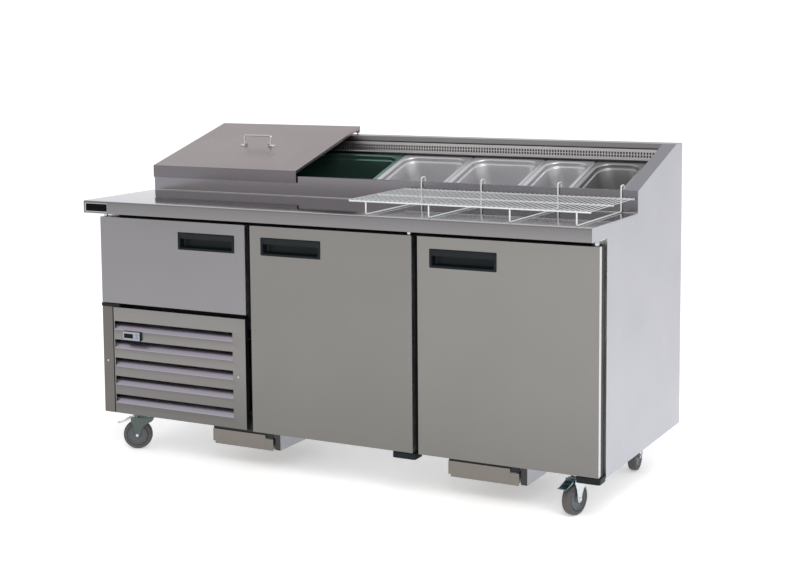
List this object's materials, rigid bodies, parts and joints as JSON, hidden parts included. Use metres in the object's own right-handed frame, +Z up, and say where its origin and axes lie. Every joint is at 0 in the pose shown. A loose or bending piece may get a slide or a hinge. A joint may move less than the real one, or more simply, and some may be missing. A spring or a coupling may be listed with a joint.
{
  "type": "sandwich prep table",
  "caption": "Refrigerated stainless prep table with doors, a louvred machine bay, a sloped food pan hopper, a hinged lid, a lift-off wire shelf and casters.",
  "frame": {"origin": "on the floor under the centre of the table", "axes": "+X to the right seen from the doors, +Y to the back, +Z up"},
  "size_m": [1.802, 0.84, 1.0926],
  "materials": {
    "door_steel": "brushed",
    "panel_steel": "satin",
    "top_steel": "polished",
    "hopper_steel": "brushed",
    "pan_steel": "polished",
    "liner_steel": "satin",
    "black_plastic": "moulded",
    "gasket_rubber": "matte",
    "zinc_steel": "zinc plated",
    "wheel_rubber": "matte",
    "chrome": "polished",
    "white_wire": "plastic coated",
    "copper": "drawn tube",
    "fin_aluminium": "finned",
    "black_paint": "satin",
    "grey_plastic": "moulded"
  },
  "bodies": {
    "root": {"base_panel": "liner_steel", "left_side_panel": "panel_steel", "right_side_panel": "panel_steel", "back_panel": "panel_steel", "machine_housing": "liner_steel", "front_frame": "liner_steel", "worktop": "top_steel", "hopper_riser": "hopper_steel", "rear_rail": "hopper_steel", "air_strip": "hopper_steel", "pan_frame": "hopper_steel", "left_stile": "door_steel", "louvre_panel": "door_steel", "screws": "zinc_steel", "thermostat": "black_plastic", "compressor": "black_paint", "condenser_coil": "fin_aluminium", "condenser_shroud": "black_paint", "evaporator_coil": "fin_aluminium", "evaporator_housing": "grey_plastic", "refrigerant_pipes": "copper", "hinge_brackets": "black_plastic", "tray_runners": "black_paint", "inner_shelves": "white_wire", "caster_plates": "zinc_steel", "pan_5": "pan_steel", "pan_6": "pan_steel"},
    "door_left": {"door_left": "door_steel", "door_left_gasket": "gasket_rubber", "door_left_handle": "black_plastic"},
    "door_middle": {"door_middle": "door_steel", "door_middle_gasket": "gasket_rubber", "door_middle_handle": "black_plastic"},
    "door_right": {"door_right": "door_steel", "door_right_gasket": "gasket_rubber", "door_right_handle": "black_plastic"},
    "lid": {"lid": "door_steel", "lid_handle_plates": "chrome"},
    "lid_bail": {"lid_bail": "chrome"},
    "pan_1": {"pan_1": "pan_steel"},
    "pan_2": {"pan_2": "pan_steel"},
    "pan_3": {"pan_3": "pan_steel"},
    "pan_4": {"pan_4": "pan_steel"},
    "wire_shelf": {"wire_shelf": "white_wire"},
    "drip_tray_left": {"drip_tray_left": "door_steel"},
    "drip_tray_right": {"drip_tray_right": "door_steel"},
    "condenser_fan": {"condenser_fan": "black_plastic"},
    "evaporator_fan": {"evaporator_fan": "black_plastic"},
    "button_up": {"button_up": "grey_plastic"},
    "button_down": {"button_down": "grey_plastic"},
    "fork_front_left": {"fork_front_left": "zinc_steel"},
    "wheel_front_left": {"wheel_front_left": "wheel_rubber"},
    "pedal_front_left": {"pedal_front_left": "black_plastic"},
    "fork_front_right": {"fork_front_right": "zinc_steel"},
    "wheel_front_right": {"wheel_front_right": "wheel_rubber"},
    "pedal_front_right": {"pedal_front_right": "black_plastic"},
    "fork_rear_left": {"fork_rear_left": "zinc_steel"},
    "wheel_rear_left": {"wheel_rear_left": "wheel_rubber"},
    "fork_rear_right": {"fork_rear_right": "zinc_steel"},
    "wheel_rear_right": {"wheel_rear_right": "wheel_rubber"}
  },
  "joints": [
    {"name": "door_left_hinge", "type": "hinge", "parent": "root", "child": "door_left", "pos_m": [-0.8805, -0.3268, 0.5], "axis": [0, 0, -1], "range_deg": [0, 95]},
    {"name": "door_middle_hinge", "type": "hinge", "parent": "root", "child": "door_middle", "pos_m": [0.2775, -0.3268, 0.5], "axis": [0, 0, 1], "range_deg": [0, 95]},
    {"name": "door_right_hinge", "type": "hinge", "parent": "root", "child": "door_right", "pos_m": [0.8805, -0.3268, 0.5], "axis": [0, 0, 1], "range_deg": [0, 95]},
    {"name": "lid_hinge", "type": "hinge", "parent": "root", "child": "lid", "pos_m": [-0.602, 0.413, 1.073], "axis": [-1, 0, 0], "range_deg": [0, 108]},
    {"name": "lid_bail_fold", "type": "hinge", "parent": "lid", "child": "lid_bail", "pos_m": [-0.602, 0.19139, 1.0356], "axis": [1, 0, 0], "range_deg": [0, 105]},
    {"name": "pan_1_lift", "type": "slide", "parent": "root", "child": "pan_1", "axis": [0, -0.2927, 0.9562], "range_m": [0, 0.13]},
    {"name": "pan_2_lift", "type": "slide", "parent": "root", "child": "pan_2", "axis": [0, -0.2927, 0.9562], "range_m": [0, 0.13]},
    {"name": "pan_3_lift", "type": "slide", "parent": "root", "child": "pan_3", "axis": [0, -0.2927, 0.9562], "range_m": [0, 0.13]},
    {"name": "pan_4_lift", "type": "slide", "parent": "root", "child": "pan_4", "axis": [0, -0.2927, 0.9562], "range_m": [0, 0.13]},
    {"name": "wire_shelf_lift", "type": "slide", "parent": "root", "child": "wire_shelf", "axis": [0, 0, 1], "range_m": [0, 0.12]},
    {"name": "drip_tray_left_slide", "type": "slide", "parent": "root", "child": "drip_tray_left", "axis": [0, -1, 0], "range_m": [0, 0.26]},
    {"name": "drip_tray_right_slide", "type": "slide", "parent": "root", "child": "drip_tray_right", "axis": [0, -1, 0], "range_m": [0, 0.26]},
    {"name": "condenser_fan_spin", "type": "hinge", "parent": "root", "child": "condenser_fan", "pos_m": [-0.59175, -0.25, 0.33], "axis": [0, 1, 0], "continuous": true},
    {"name": "evaporator_fan_spin", "type": "hinge", "parent": "root", "child": "evaporator_fan", "pos_m": [-0.6, 0.22, 0.66], "axis": [0, 1, 0], "continuous": true},
    {"name": "button_up_press", "type": "slide", "parent": "root", "child": "button_up", "axis": [0, 1, 0], "range_m": [0, 0.001], "stiffness_N_per_m": 300},
    {"name": "button_down_press", "type": "slide", "parent": "root", "child": "button_down", "axis": [0, 1, 0], "range_m": [0, 0.001], "stiffness_N_per_m": 300},
    {"name": "caster_front_left_swivel", "type": "hinge", "parent": "root", "child": "fork_front_left", "pos_m": [-0.8, -0.237, 0.12], "axis": [0, 0, 1], "continuous": true},
    {"name": "caster_front_left_roll", "type": "hinge", "parent": "fork_front_left", "child": "wheel_front_left", "pos_m": [-0.82649, -0.25108, 0.05], "axis": [0.4695, -0.8829, 0], "continuous": true},
    {"name": "caster_front_left_brake", "type": "hinge", "parent": "fork_front_left", "child": "pedal_front_left", "pos_m": [-0.83885, -0.25766, 0.106], "axis": [0.4695, -0.8829, 0], "range_deg": [0, 12]},
    {"name": "caster_front_right_swivel", "type": "hinge", "parent": "root", "child": "fork_front_right", "pos_m": [0.8, -0.237, 0.12], "axis": [0, 0, 1], "continuous": true},
    {"name": "caster_front_right_roll", "type": "hinge", "parent": "fork_front_right", "child": "wheel_front_right", "pos_m": [0.79274, -0.26611, 0.05], "axis": [0.9703, -0.2419, 0], "continuous": true},
    {"name": "caster_front_right_brake", "type": "hinge", "parent": "fork_front_right", "child": "pedal_front_right", "pos_m": [0.78936, -0.27969, 0.106], "axis": [0.9703, -0.2419, 0], "range_deg": [0, 12]},
    {"name": "caster_rear_left_swivel", "type": "hinge", "parent": "root", "child": "fork_rear_left", "pos_m": [-0.8, 0.285, 0.12], "axis": [0, 0, 1], "continuous": true},
    {"name": "caster_rear_left_roll", "type": "hinge", "parent": "fork_rear_left", "child": "wheel_rear_left", "pos_m": [-0.81928, 0.26202, 0.05], "axis": [0.766, -0.6428, 0], "continuous": true},
    {"name": "caster_rear_right_swivel", "type": "hinge", "parent": "root", "child": "fork_rear_right", "pos_m": [0.8, 0.285, 0.12], "axis": [0, 0, 1], "continuous": true},
    {"name": "caster_rear_right_roll", "type": "hinge", "parent": "fork_rear_right", "child": "wheel_rear_right", "pos_m": [0.80261, 0.25511, 0.05], "axis": [0.9962, 0.0872, 0], "continuous": true}
  ]
}
